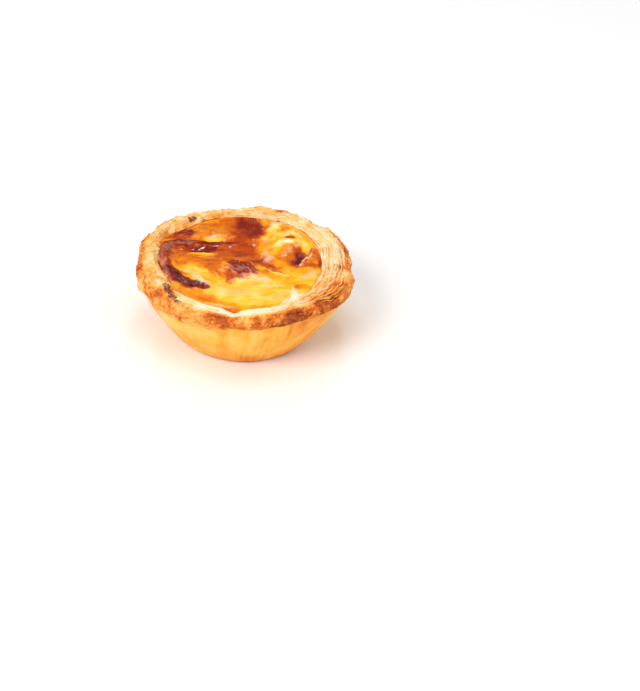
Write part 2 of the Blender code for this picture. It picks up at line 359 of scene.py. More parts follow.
# ---- the rolled rim

# The rim is a roll of leaves. A leaf's number counts from the lip outwards.
CREST_LEAF, WIDEST_LEAF, FOOT_LEAF = 6, 15, 20
RIM_TURNS = 780
POINTS_PER_LEAF = 6
HIDDEN_WIDTH, HIDDEN_DEPTH, HIDDEN_LIFT = 1.6, 2.2, 0.2  # of the side that case and custard hide
HIDDEN_BROWNING = 0.4


def lip_radius(angle):
    """Where rim and custard meet."""
    oval = -OPENING_STRETCH * np.cos(2 * angle) - OPENING_SHIFT * np.cos(angle)
    return LIP_RADIUS + oval + bells(angle, LIP_PUSHES)


def rim_place(angle, leaf):
    """Radius and height on the rim before its leaves and crumbs."""
    lip = lip_radius(angle)
    widest = RIM_RADIUS + bells(angle, RIM_PUSHES)
    crest = lip + (widest - lip) * (CREST_SHARE + bells(angle, CREST_PUSHES))
    lifted = bells(angle, FOOT_LIFTS)
    foot = RIM_FOOT_RADIUS + bells(angle, RIM_PUSHES) + WALL_TOP_SLOPE * lifted
    inside = np.clip(leaf / CREST_LEAF, 0, 1) * math.pi / 2
    outside = np.clip((leaf - CREST_LEAF) / (WIDEST_LEAF - CREST_LEAF), 0, 1) * math.pi / 2
    under = np.clip((leaf - WIDEST_LEAF) / (FOOT_LEAF - WIDEST_LEAF), 0, 1)
    radius = lip + (crest - lip) * (1 - np.cos(inside)) + (widest - crest) * np.sin(outside)
    radius = radius + (foot - widest) * under**1.5
    climb = np.sin(inside) + bells(angle, GENTLE_SLOPES) * (1 - np.cos(inside) - np.sin(inside))
    lift = bells(angle, RIM_LIFTS)
    seam = SEAM_DIP * bell(angle, SEAM_ANGLE, SEAM_HALF_WIDTH) * (1 - eased(leaf, 5, 10))
    height = LIP_FOOT_HEIGHT + (RIM_TOP_HEIGHT + lift - LIP_FOOT_HEIGHT - seam) * climb
    height = height - (RIM_TOP_HEIGHT - seam - RIM_LINE_HEIGHT) * (1 - np.cos(outside) ** 0.9)
    return radius, height - (RIM_LINE_HEIGHT - RIM_FOOT_HEIGHT - lifted) * under


SLOPE_REACH = 0.3  # leaves to either side, to measure how the rim slopes


def rim_frame(angle, leaf):
    """Radius and height on the rim, the direction out of it, and the direction across its leaves."""
    radius, height = rim_place(angle, leaf)
    before = rim_place(angle, np.maximum(leaf - SLOPE_REACH, 0))
    after = rim_place(angle, leaf + SLOPE_REACH)
    across_r, across_z = after[0] - before[0], after[1] - before[1]
    length = np.hypot(across_r, across_z) + 1e-6
    across_r, across_z = across_r / length, across_z / length
    return radius, height, (-across_z, across_r), (across_r, across_z)


def leaf_drift(angle, leaf):
    """How far the leaves wander from their even lines, in leaves."""
    slow, quick = ring_lumps(angle, leaf, 16, 7, 1), ring_lumps(angle, leaf, 5.5, 4, 2)
    return 1.4 * slow + 0.6 * quick + 0.42 * ring_lumps(angle, leaf, 2.0, 3, 3)


# Where leaves lie open, and where they reach furthest out over the rim
OPEN_RIGHT = ((5, 48, 1.0), (72, 26, 0.9), (-34, 14, 0.8))
OPEN_FRONT = ((-100, 34, 1.0), (-52, 20, 0.9))
OPEN_REACH = ((0, 44, 4.5), (-34, 14, 4.5))


def beyond_open_leaves(angle, leaf):
    """0 where the leaves of the right side lie open and 1 outside them."""
    last_leaf = 3.2 + bells(angle, OPEN_REACH)
    return eased(leaf, last_leaf, last_leaf + 2.5)


def leafiness(angle, leaf):
    """1 where leaves lie open, on the right, the back and the front lip, and 0 where the rim is crumbly."""
    right = covered(angle, OPEN_RIGHT) * (1 - 0.8 * beyond_open_leaves(angle, leaf))
    front_lip = 0.9 * covered(angle, OPEN_FRONT) * (1 - eased(leaf, 7.5, 9.5))
    strays = 0.35 * eased(ring_lumps(angle, leaf, 9, 5, 8), 0, 0.5)
    return np.clip(np.maximum(right, front_lip) + 0.10 + strays, 0, 1)


EVEN_BROWNING = 0.38  # golden: 0 is the palest and 1 the darkest
PALE_RIGHT = ((14, 30, 0.85), (58, 26, 0.9), (84, 16, 0.6))
PALE_FRONT = ((-104, 28, 0.9), (-64, 18, 1.0), (-136, 12, 0.5))

# Where the oven browned the rim more, or less. Each row is a band of leaves, and the bells round the
# tart that count in it. The band grows from none to full between two leaves, and fades between two others.
FROM_LIP, TO_FOOT = (-2, -1), (30, 31)  # slopes beyond the rim, for a band that reaches its edge
BROWNED_BANDS = (
    (FROM_LIP, TO_FOOT, ((-32, 18, 0.04), (-146, 14, 0.05))),
    (FROM_LIP, (1.0, 3.5), ((138, 24, 0.22), (178, 16, 0.10), (-158, 14, 0.22))),
    ((0, 2), (6, 8), ((-133, 9, 0.26),)),
    ((2, 8), TO_FOOT, ((-32, 18, 0.06),)),
    ((5.5, 8), TO_FOOT, ((73, 5, 0.42),)),
    ((8.0, 10.5), TO_FOOT, ((-60, 15, 0.36), (-90, 22, 0.16), (-36, 16, 0.05), (-122, 20, 0.07),
                            (-147, 10, -0.10), (150, 22, 0.05))),
    ((8.5, 11.0), TO_FOOT, ((30, 40, 0.20), (90, 30, 0.10), (-172, 32, 0.17), (150, 26, 0.13))),
)


def rim_browning(angle, leaf):
    """How far the oven took the rim: pale on the right and the front lip, golden on the left and at
    the back, and brown along the front's outer band."""
    pale_right = covered(angle, PALE_RIGHT) * (1 - beyond_open_leaves(angle, leaf))
    pale_front = covered(angle, PALE_FRONT) * (1 - eased(leaf, 7.0, 9.5))
    level = EVEN_BROWNING - 0.24 * pale_right - 0.25 * pale_front
    level = level + 0.09 * eased(leaf, 8.0, 10.5) - 0.10 * eased(leaf, 16.5, 19.0)
    for grows, fades, places in BROWNED_BANDS:
        level = level + eased(leaf, *grows) * (1 - eased(leaf, *fades)) * bells(angle, places)
    return level


# Scorched places on the rim: angle and half width, leaf and half width in leaves, and how dark
CHAR = (
    (130, 3.6, 5.6, 1.5, 1.0), (123, 2.6, 2.4, 1.2, 0.55), (-140, 3.6, 6.4, 1.4, 0.9),
    (-135, 3.8, 7.3, 1.3, 1.0), (-129.5, 3.8, 8.2, 1.3, 0.95), (-124.5, 3.2, 9.1, 1.1, 0.85),
    (-171, 7.0, 1.4, 2.2, 0.5), (-160, 7.0, 1.8, 2.6, 0.7), (-150, 6.0, 2.0, 2.6, 0.6),
    (152, 8.0, 1.0, 1.6, 0.4),
)
BROWNEST = 0.72  # dough seldom gets browner than this before it chars


def rim_char(angle, leaf):
    """How far each place on the rim is charred, in broken patches."""
    speckle = rough(wrapped(angle, leaf, 1.6, 1.6), 1, 3, 21)
    total = np.zeros(len(angle))
    for middle, half_width, place, reach, depth in CHAR:
        near = bell(angle, middle, half_width) * np.exp(-(((leaf - place) / reach) ** 2))
        total = np.maximum(total, depth * eased(near * (1 + 0.6 * speckle), 0.25, 0.6))
    return total


EDGE_HEIGHT, EDGE_SINK = 0.85, 0.5  # of a leaf's edge, and of the rim's surface between edges
FLAKE_SIZE, FLAKE_STEPS = 5.0, 3.2
LARGE_CRUMB, SMALL_CRUMB = 2.6, 1.0
LARGE_SWELL, SMALL_SWELL = 8, 3.5


def rim_relief(angle, leaf):
    """How far the rim's surface stands out of its plain shape, and how far it is browned. That browning
    also holds painted shade in the gaps between crumbs and leaves, and painted light on crumb tops and
    flake edges; its paler leaf edges are partly the pastry's own colour and partly painted light.
    """
    radius, height = rim_place(angle, leaf)
    flat = turned(radius, height, angle)
    leafy = leafiness(angle, leaf)
    phase = leaf + leaf_drift(angle, leaf)
    share, own = phase % 1, np.floor(phase)
    presence = eased(ring_lumps(angle, own * 3.7, 4.5, 1, 4), -0.35, 0.35)
    width = 0.15 + 0.06 * ring_lumps(angle, own * 2.9, 5, 1, 6)
    ridge = np.exp(-(((share - 0.5) / width) ** 2)) * presence
    fade_in, fade_out = eased(leaf, 0.2, 1.5), 1 - eased(leaf, 17.0, 19.5)

    patches, highlit_patch_edge = flaked(flat, FLAKE_SIZE, FLAKE_STEPS, 5)
    crumb = 0.6 * crumbled(flat, LARGE_CRUMB, 3, 7) + 0.4 * crumbled(flat, SMALL_CRUMB, 2, 25)
    crumbly = np.clip(1.15 - leafy, 0.12, 1) * eased(leaf, 0.3, 3) * (0.5 + 0.5 * fade_out)
    tough = eased(lumps(flat, 6.5, 17), -0.35, 0.35)  # where crumbs hold together and where they are loose
    swell = 0.50 * rough(flat, LARGE_SWELL, 2, 9) + 0.4 * rough(flat, SMALL_SWELL, 3, 12)
    leaves = fade_out * (EDGE_HEIGHT * ridge - EDGE_SINK) * leafy
    out_by = fade_in * (leaves + (0.5 + 0.5 * fade_out) * swell)
    out_by = out_by + crumbly * (0.55 * patches + (0.85 - 0.45 * tough) * (crumb - 0.6))

    # painted shade and light: the gaps between crumbs are browner and their tops paler, and the upper edges
    # of broken layers paler
    browned_and_shading = rim_browning(angle, leaf) + crumbly * (0.32 * (0.44 - crumb) - 0.10 * highlit_patch_edge)
    # leaf edges paler and the gaps between them browner, partly the pastry's own colour and partly painted
    # light and shade
    browned_and_shading = browned_and_shading + leafy * (0.20 - 0.36 * ridge) + 0.19 * rough(flat, 6.0, 4, 15)
    return out_by, np.minimum(browned_and_shading, BROWNEST + 0.5 * (browned_and_shading - BROWNEST))


def rolled_rim(material):
    """The rim itself, with its leaves' edges and its crumbs as relief, and a plain side in the case."""
    visible = np.linspace(0, FOOT_LEAF, FOOT_LEAF * POINTS_PER_LEAF + 1)
    angle = np.linspace(-math.pi, math.pi, RIM_TURNS, endpoint=False)
    angle, leaf = [grid.ravel() for grid in np.meshgrid(angle, visible, indexing="ij")]
    radius, height, out, _ = rim_frame(angle, leaf)
    out_by, browned_and_shading = rim_relief(angle, leaf)
    radius, height = radius + out_by * out[0], height + out_by * out[1]
    at_lip = np.arange(0, len(leaf), len(visible))
    at_foot = at_lip + len(visible) - 1
    inner = turned(radius[at_foot] - HIDDEN_WIDTH, height[at_foot] + HIDDEN_LIFT, angle[at_foot])
    under = turned(radius[at_lip] + HIDDEN_WIDTH, height[at_lip] - HIDDEN_DEPTH, angle[at_lip])
    shown = turned(radius, height, angle).reshape(RIM_TURNS, -1, 3)
    points = np.concatenate((shown, inner[:, None], under[:, None]), axis=1)
    marks = {"browned_and_shading": browned_and_shading, "charred": rim_char(angle, leaf)}
    for mark, hidden in (("browned_and_shading", HIDDEN_BROWNING), ("charred", 0.0)):
        by_turn = marks[mark].reshape(RIM_TURNS, -1)
        marks[mark] = np.pad(by_turn, ((0, 0), (0, 2)), constant_values=hidden).ravel()
    faces = ring_faces(RIM_TURNS, points.shape[1], True)
    return piece("rolled_rim", points.reshape(-1, 3), faces, material, marks, "pastry_case")


# Where open leaves stand: how many, from angle, to angle, first leaf and last leaf
OPEN_LEAVES = ((130, -48, 102, 0, 10), (44, -150, -48, 1, 8), (16, 100, 200, 2, 11))
LEAF_STEP = math.radians(0.8)
LEAF_HALF_THICKNESS = 0.08
LEAF_ROOT = -1.0  # how far a leaf goes down into the rim


def open_leaf(start, end, first, last):
    """The four long edges of one thin leaf, which stands somewhere between two angles and two leaves of
    the rim, and how far each edge is browned: paler at the top and browner at the root, partly the
    pastry's own colour and partly painted light and shade."""
    middle = math.radians(chance.uniform(start, end))
    half = math.radians(chance.uniform(4, 15))
    angle = np.arange(middle - half, middle + half, LEAF_STEP)
    line = chance.integers(first, last + 1) + 0.5
    leaf = np.full(len(angle), line)
    for _ in range(3):
        leaf = line - leaf_drift(angle, leaf)
    leaf = np.clip(leaf + 0.12 * chance.normal(), 0.3, 14)
    share = np.linspace(0, 1, len(angle))
    taper = np.clip(np.minimum(share, 1 - share) * 6, 0, 1) ** 0.7
    own = chance.integers(50, 200)
    wave = ring_lumps(angle, leaf, 2.2, 9, own)
    tall = chance.uniform(0.1, 0.5) * taper * (0.8 + 0.8 * wave)
    tall = tall - 0.9 * (1 - eased(leafiness(angle, leaf), 0.2, 0.55))
    lean = 0.3 * ring_lumps(angle, leaf, 3, 9, own + 1) + chance.uniform(-0.2, 0.35)
    radius, height, out, across = rim_frame(angle, leaf)
    even = rim_browning(angle, leaf) + 0.08 * wave
    thick, thin = LEAF_HALF_THICKNESS, 0.6 * LEAF_HALF_THICKNESS
    # the last number of each edge: the top paler and the root browner, partly painted light and shade
    edges = ((LEAF_ROOT, -thick, 0.10), (LEAF_ROOT, thick, 0.10),
             (tall, lean + thin, -0.13), (tall, lean - thin, -0.13))
    points = [turned(radius + rise * out[0] + sideways * across[0],
                     height + rise * out[1] + sideways * across[1], angle) for rise, sideways, _ in edges]
    return points, [even + browner for _, _, browner in edges]


def open_leaves(material):
    """Thin edges of leaves that have lifted from the rim, each along its own line round it."""
    points, faces, browned_and_shading = [], [], []
    count = 0
    for number, *where in OPEN_LEAVES:
        for _ in range(number):
            edges, levels = open_leaf(*where)
            lines = [count + side * len(edges[0]) + np.arange(len(edges[0])) for side in range(4)]
            for here, there in zip(lines, lines[1:] + lines[:1]):
                faces += band_faces(here, there, closed=False)
            faces += [[int(line[0]) for line in lines], [int(line[-1]) for line in lines[::-1]]]
            points += edges
            browned_and_shading += levels
            count += 4 * len(edges[0])
    marks = {"browned_and_shading": np.concatenate(browned_and_shading), "charred": 0.0}
    return piece("open_leaves", np.concatenate(points), faces, material, marks)


CRUMBS = 450


def rim_crumbs(material):
    """Loose flakes and crumbs, lying nearly flat, on the outer band and on the left of the rim."""
    seedling = bmesh.new()
    bmesh.ops.create_icosphere(seedling, subdivisions=1, radius=1.0)
    ball = np.array([v.co[:] for v in seedling.verts])
    ball_faces = np.array([[v.index for v in face.verts] for face in seedling.faces])
    seedling.free()
    angle = chance.uniform(-math.pi, math.pi, 6 * CRUMBS)
    leaf = chance.uniform(6, 17, 6 * CRUMBS)
    wanted = chance.random(6 * CRUMBS) < 0.7 * (1.05 - leafiness(angle, leaf)) ** 2
    angle, leaf = angle[wanted][:CRUMBS], leaf[wanted][:CRUMBS]
    radius, height, out, across = rim_frame(angle, leaf)
    depth, level = rim_relief(angle, leaf)
    depth = depth + chance.uniform(-0.10, 0.02, len(angle))
    middle = turned(radius + depth * out[0], height + depth * out[1], angle)
    upright = turned(*out, angle) + chance.normal(0, 0.45, (len(angle), 3))
    outward = turned(*across, angle) + chance.normal(0, 0.5, (len(angle), 3))
    sideways = np.cross(upright, outward)
    lengthways = np.cross(sideways, upright)
    size = chance.uniform(0.2, 0.55, (len(angle), 1)) * chance.uniform(0.5, 1.4, (len(angle), 2))
    thick = chance.uniform(0.06, 0.13, len(angle))
    dents = 1 + 0.25 * chance.normal(size=(len(angle), len(ball), 1))
    ways = ((size[:, 0], lengthways), (size[:, 1], sideways), (thick, upright))
    points = middle[:, None] + dents * sum(
        ball[:, way, None] * (reach / np.linalg.norm(side, axis=1))[:, None, None] * side[:, None]
        for way, (reach, side) in enumerate(ways))
    faces = (ball_faces + len(ball) * np.arange(len(angle))[:, None, None]).reshape(-1, 3).tolist()
    level = level + chance.normal(-0.03, 0.05, len(angle))
    marks = {"browned_and_shading": np.repeat(level, len(ball)), "charred": 0.0}
    return piece("rim_crumbs", points.reshape(-1, 3), faces, material, marks)


TORN_LEAF_TIP = np.array((17.2, -18.2, 28.5))
TORN_LEAF_ANGLES = np.radians((-66, -42))
TORN_LEAF_LINE = 5.6  # the leaf of the rim that it has torn from
TORN_LEAF_SUNK = 0.25  # how far its root is pressed into the rim
TORN_LEAF_PEAK = 0.63  # how far along the torn leaf its tip is
TORN_LEAF_SLOPES = (0.52, 0.22)  # how far the slopes to the tip reach along it, before and after
TORN_LEAF_HALF_THICKNESS = 0.16


def torn_leaf(material):
    """One leaf that has torn at the front right and stands over the custard with its tip up."""
    rows, columns = 26, 30
    across, along = np.meshgrid(np.linspace(0, 1, rows), np.linspace(0, 1, columns), indexing="ij")
    across, along = across.ravel(), along.ravel()
    angle = TORN_LEAF_ANGLES[0] + (TORN_LEAF_ANGLES[1] - TORN_LEAF_ANGLES[0]) * along
    radius, height = rim_place(angle, np.full(len(angle), TORN_LEAF_LINE))
    root = turned(radius, height - TORN_LEAF_SUNK, angle)
    ragged = 0.07 * lumps(np.stack((along * 6, across * 3, 0 * across), axis=-1), 1, 85)
    from_tip = along + ragged - TORN_LEAF_PEAK
    peaked = 1.18 - np.abs(from_tip) / np.where(from_tip < 0, *TORN_LEAF_SLOPES)
    peaked = np.clip(peaked, 0, 1)[:, None]
    narrow = root + (TORN_LEAF_TIP - root) * across[:, None] * (0.12 + 0.88 * peaked)
    arch = np.sin(math.pi * across)[:, None] * (0.3 + 0.5 * peaked) * np.array((0, 0, 1))
    frayed = rough(np.stack((along * 6, across * 4, 0 * across), axis=-1), 1.5, 3, 81)[:, None]
    middle = narrow + arch + frayed * np.array((0.25, 0.25, 0.6))
    thickness = np.array((0, 0, TORN_LEAF_HALF_THICKNESS))
    points = np.concatenate((middle + thickness, middle - thickness))
    quads, edge = sheet_faces(rows, columns)
    lower = rows * columns
    faces = quads[:, ::-1].tolist() + (quads + lower).tolist() + band_faces(edge + lower, edge)
    browned_and_shading = 0.20 + 0.16 * lumps(points, 2.0, 83) - 0.2 * np.tile(frayed[:, 0], 2)
    browned_and_shading = browned_and_shading + 0.16 * eased(np.tile(along, 2), 0.6, 1.0)
    return piece("torn_leaf", points, faces, material, {"browned_and_shading": browned_and_shading, "charred": 0.0})


# ---- the smooth case under the rim

WALL_TURNS = 800
INSIDE_POINTS, WALL_POINTS, EDGE_POINTS, BASE_POINTS = 8, 70, 12, 14  # along the section
HIDDEN_RISE, HIDDEN_INSET = 0.8, 1.5  # of the wall's top and the case's top, inside the rim
INSIDE_INSET = 1.0  # of the case's inside from the custard's edge
# where the wall is darker round the tart: middle angle, half width and how much
WALL_DARKER_PLACES = ((-40, 32, 0.14), (-108, 12, 0.08), (150, 60, 0.05))


def case_section():
    """From the axis along the inner floor, up the inside, over a hidden top and down the outside to the
    axis: radius, height, and which points are on the outside."""
    inside_radius = np.linspace(INNER_FLOOR_RADIUS, LIP_RADIUS - INSIDE_INSET, INSIDE_POINTS)
    inside_height = np.linspace(FLOOR_THICKNESS, CASE_TOP_HEIGHT, INSIDE_POINTS)
    top_radius = RIM_FOOT_RADIUS - HIDDEN_INSET
    inner_radius = np.concatenate(((0.0, INNER_FLOOR_RADIUS / 2), inside_radius, (top_radius,)))
    inner_height = np.concatenate(((FLOOR_THICKNESS, FLOOR_THICKNESS), inside_height, (CASE_TOP_HEIGHT,)))

    edge_start = Vector((FLAT_RADIUS + BOTTOM_EDGE_RADIUS * math.cos(WALL_LEAN),
                         BOTTOM_EDGE_RADIUS * (1 - math.sin(WALL_LEAN))))
    wall_top = Vector((RIM_FOOT_RADIUS, RIM_FOOT_HEIGHT + HIDDEN_RISE))
    up_wall = Vector((math.sin(WALL_LEAN), math.cos(WALL_LEAN)))
    bend = edge_start + up_wall * (wall_top - edge_start).length / 2
    share = np.linspace(0, 1, WALL_POINTS, endpoint=False)[:, None]
    wall = np.array(wall_top) * (1 - share) ** 2 + np.array(bend) * 2 * share * (1 - share)
    wall = wall + np.array(edge_start) * share**2
    corner = np.radians(np.linspace(-math.degrees(WALL_LEAN), -90, EDGE_POINTS))
    base = np.linspace(FLAT_RADIUS, 0, BASE_POINTS)[1:]
    outer_radius = np.concatenate((wall[:, 0], FLAT_RADIUS + BOTTOM_EDGE_RADIUS * np.cos(corner), base))
    outer_height = np.concatenate((wall[:, 1], BOTTOM_EDGE_RADIUS * (1 + np.sin(corner)), 0 * base))
    outside = np.arange(len(inner_radius) + len(outer_radius)) >= len(inner_radius)
    return np.append(inner_radius, outer_radius), np.append(inner_height, outer_height), outside


def smooth_case(material):
    """The case under the rim, with faint flutes, dents and creases from the dough's folds."""
    radius, height, outer = case_section()
    points_each = len(radius)
    angle = np.repeat(np.linspace(-math.pi, math.pi, WALL_TURNS, endpoint=False), points_each)
    radius, height, outer = [np.tile(values, WALL_TURNS) for values in (radius, height, outer)]
    flutes = ring_lumps(angle, height, 4.5, 40, 31) + 0.5 * ring_lumps(angle, height, 1.8, 18, 32)
    dents = rough(wrapped(angle, height, 9, 7), 1, 3, 33)
    laps = np.abs((height / 2.3 + 0.8 * ring_lumps(angle, height, 18, 6, 34)) % 1 - 0.5)
    step = 0.10 * eased(laps, 0.30, 0.5) * eased(ring_lumps(angle, height, 12, 3, 35), 0, 0.5)
    creases = creased(wrapped(angle, height, 3.2, 15), 1, 37)
    creases = creases * eased(ring_lumps(angle, height, 9, 9, 38), -0.2, 0.4)

    moved = radius + outer * eased(height, 9.0, RIM_FOOT_HEIGHT + 1) * bells(angle, RIM_PUSHES)
    up_inside = ~outer * eased(height, FLOOR_THICKNESS, CUSTARD_HEIGHT)
    moved = moved + up_inside * (lip_radius(angle) - LIP_RADIUS)
    relief = 0.15 * flutes + 0.24 * dents + step - 0.14 * creases
    moved = moved + outer * eased(height, 0.05, 2.0) * relief
    lifted = outer * eased(height, 11.0, RIM_FOOT_HEIGHT) * bells(angle, FOOT_LIFTS)

    browned_and_shading = EVEN_BROWNING + 0.15 * dents - 0.10 * flutes + 0.5 * step + 0.12 * creases
    # the wall is coloured paler towards its top, darker at the front right near the top, darker near the
    # bottom, and darker in a few places round it
    browned_and_shading = browned_and_shading - 0.08 * eased(height, 11, 20) + bells(angle, WALL_DARKER_PLACES)
    browned_and_shading = browned_and_shading + 0.12 * bell(angle, -48, 26) * eased(height, 13, 20)
    browned_and_shading = browned_and_shading + 0.07 * (1 - eased(height, 2, 9))
    points = turned(moved + WALL_TOP_SLOPE * lifted, height + lifted, angle)
    faces = ring_faces(WALL_TURNS, points_each, False)
    made = piece("smooth_case", points, faces, material, {"browned_and_shading": browned_and_shading}, "pastry_case")
    weld_axis(made)
    return made


def weld_axis(made):
    """Joins the section's end points, which lie on the axis, into one point each."""
    mesh = bmesh.new()
    mesh.from_mesh(made.data)
    on_axis = [v for v in mesh.verts if math.hypot(v.co.x, v.co.y) < 1e-7]
    bmesh.ops.remove_doubles(mesh, verts=on_axis, dist=1e-6)
    mesh.to_mesh(made.data)
    mesh.free()


# ---- the custard

CUSTARD_GRID = 300  # points each way over the skin
UNDER_RIM = 0.7  # how far the skin goes on under the rim
SIDE_OVERLAP = 0.1  # how far its hidden side goes into the case
FLOOR_GAP = 0.1  # how far its underside stays off the case
SIDE_RINGS, SIDE_DROP = 5, 2.0  # rings of points down the hidden side, and how far under the skin it starts
PLAIN_CUSTARD = 0.24  # how far the custard is scorched where nothing else says so
CLIMBS = ((180, 42, 1.5), (100, 50, 0.6))  # how far its edge has risen up the rim
WRINKLE_STRETCH, SWIRL_STRETCH = 3.4, 1.8  # how much longer than wide wrinkles and swirls are

# Where the custard has its own colour, with painted shade and highlights in the rows marked so below:
# middle, half length and half width, turn, how far it is scorched (0.1 is cream, 0.25 yellow, 0.45 amber,
# 0.6 orange, 0.75 red-brown, 0.9 maroon), and how sharp its edge is
TOAST = (
    # the amber left and back, and the yellow right
    ((-12.0, 8.0), (20.0, 19.0), 0, 0.50, 0.7),
    ((13.0, 16.0), (11.0, 12.0), 0, 0.33, 0.8),
    ((0.0, -19.5), (17.0, 8.0), 0, 0.22, 0.8),
    # the back: a dark red slope with an orange edge
    ((-5.0, 24.5), (8.0, 7.0), 8, 0.53, 0.9),
    ((-0.8, 24.2), (6.8, 8.6), 4, 0.63, 1.0),
    ((0.0, 24.2), (5.0, 6.4), 4, 0.76, 1.4),
    ((-4.2, 17.0), (3.0, 4.2), -25, 0.66, 0.9),
    # the orange valley in front of it
    ((-2.5, 11.0), (8.0, 6.0), 0, 0.63, 0.9),
    ((-2.0, 8.0), (4.5, 2.2), 0, 0.67, 0.8),
    ((-8.0, 7.5), (3.0, 3.0), 0, 0.56, 0.8),
    # the pillow at the back left, and the burnt place beside it
    ((-14.0, 17.6), (7.0, 3.6), 12, 0.47, 1.1),
    ((-22.6, 15.2), (3.4, 2.0), 14, 0.80, 1.6),
    ((-24.5, 13.0), (4.4, 1.6), 20, 0.64, 1.0),
    ((-11.5, 14.0), (3.6, 1.3), 20, 0.28, 1.2),
    # under the long fold
    # a red-brown hollow, darker partly as painted shadow of the long fold
    ((-17.5, 7.4), (7.5, 2.3), 12, 0.66, 1.2),
    ((-15.5, 7.8), (5.0, 1.5), 12, 0.78, 1.3),
    ((-22.0, 4.6), (4.0, 1.6), 30, 0.62, 1.0),
    # a crest painted pale yellow as a highlight
    ((-13.5, 4.2), (4.2, 1.6), 25, 0.38, 1.1),
    # the left field
    ((-18.5, -0.5), (6.8, 4.6), -12, 0.50, 0.9),
    ((-15.5, -8.0), (6.5, 2.6), -15, 0.26, 1.0),
    ((-22.6, -12.2), (7.0, 3.2), -42, 0.58, 0.9),
    # the middle: a wrinkled brown blister
    ((-3.0, -5.2), (8.5, 6.4), -20, 0.59, 1.2),
    ((-0.2, -4.4), (5.6, 3.8), -22, 0.74, 1.2),
    ((-1.4, -7.4), (2.8, 4.0), -30, 0.77, 1.0),
    ((-3.2, -11.6), (2.2, 3.0), -15, 0.62, 1.1),
    ((-7.6, -6.4), (2.8, 3.4), 10, 0.52, 1.2),
    # a hollow beside the blister, its dark brown partly painted shade
    ((4.2, 2.4), (4.0, 2.4), -12, 0.72, 1.1),
    ((0.5, 4.5), (4.6, 1.6), 5, 0.56, 1.0),
    ((8.2, -0.8), (4.6, 1.3), -12, 0.62, 1.0),
    ((11.0, -4.6), (4.2, 1.7), -20, 0.66, 1.6),
    # the pit on the right and the orange round it
    ((17.0, 5.5), (4.6, 7.0), -5, 0.46, 0.9),
    ((18.2, 6.4), (3.0, 5.6), -8, 0.60, 0.9),
    ((18.8, 5.4), (1.9, 3.8), -8, 0.84, 1.1),
    ((24.2, 8.6), (2.6, 4.2), 0, 0.54, 1.1),
    ((24.0, 1.6), (4.2, 1.9), 0, 0.60, 1.1),
    ((26.6, 4.5), (1.2, 3.0), 0, 0.70, 1.2),
    # small marks between the yellow bumps
    ((14.8, 17.0), (1.8, 1.6), 0, 0.66, 1.4),
    ((16.5, 14.8), (1.6, 1.0), -20, 0.52, 1.2),
    ((12.6, 24.0), (1.7, 4.2), 18, 0.48, 1.0),
    ((6.4, 24.4), (1.3, 2.6), -20, 0.52, 1.2),
    ((8.4, 18.6), (1.6, 2.8), 10, 0.40, 1.0),
    ((6.0, 11.0), (2.4, 3.6), 0, 0.44, 0.9),
    ((17.0, -5.5), (6.5, 3.0), 30, 0.32, 0.9),
    ((12.4, 13.4), (4.6, 1.4), 28, 0.14, 1.0),
    ((16.2, 20.4), (3.4, 1.4), -30, 0.15, 1.0),
    ((9.0, 24.6), (1.4, 4.0), -30, 0.13, 1.0),
    ((11.0, 19.6), (2.2, 1.8), 0, 0.18, 1.0),
    ((20.5, 13.0), (1.6, 3.6), 10, 0.20, 1.0),
    # the front edge
    ((20.6, -12.8), (3.2, 1.7), 28, 0.41, 1.4),
    ((-15.0, -22.0), (7.5, 3.0), -35, 0.43, 1.1),
    ((-5.0, -29.0), (8.0, 2.6), 0, 0.45, 1.2),
    ((-3.0, -30.5), (4.0, 1.8), 0, 0.52, 1.2),
    ((7.5, -26.6), (5.0, 1.3), 14, 0.38, 1.2),
)

# Pale places on the skin, partly where it has dried out and partly painted highlights, glare and sheen on
# its ridges, bumps and folds: middle, half sizes, turn, and how pale
DRY_SKIN_AND_HIGHLIGHT_PLACES = (
    # pale places on the yellow bumps at the right back, partly dry skin and partly painted glints
    ((8.6, 25.4), (1.2, 3.6), -30, 0.5), ((12.4, 13.2), (1.3, 3.8), -62, 0.4),
    ((16.6, 20.6), (2.6, 1.0), -30, 0.4), ((17.8, 14.0), (0.9, 2.2), -20, 0.5),
    ((13.0, 19.4), (1.4, 1.2), 0, 0.4), ((6.4, 16.6), (1.2, 2.0), 15, 0.4),
    ((8.0, 3.4), (1.7, 3.0), -10, 0.6), ((6.6, 8.2), (1.3, 2.2), -10, 0.4),
    ((4.6, -10.6), (5.0, 1.8), -14, 0.6), ((1.0, -12.6), (4.5, 1.2), 6, 0.5),
    # painted glare on the pale ridge at the front left, and a pale crest
    ((-13.8, -14.0), (4.6, 1.6), -55, 0.85), ((-17.6, -8.4), (3.4, 1.1), -8, 0.4),
    # painted highlights along the pit's ridge
    ((21.6, 6.6), (0.35, 4.6), -16, 0.8), ((20.0, 2.8), (0.3, 2.6), -20, 0.8),
    ((23.0, -4.6), (3.4, 2.0), 35, 0.5), ((-1.5, -19.0), (9.0, 2.6), 6, 0.22),
    ((12.0, -19.5), (4.0, 1.6), 30, 0.25), ((-12.2, 15.2), (3.0, 0.6), 28, 0.6),
    # painted sheen on the long dark fold
    ((-27.8, 4.6), (2.6, 4.6), -28, 0.15), ((-21.5, 10.2), (5.0, 0.9), 14, 0.12),
    ((-27.4, -4.0), (0.9, 2.0), -20, 0.3), ((-6.6, -28.0), (4.6, 0.7), -10, 0.6),
    ((15.0, 9.6), (1.2, 2.2), 20, 0.4), ((9.8, -13.8), (4.4, 1.0), 16, 0.3),
)

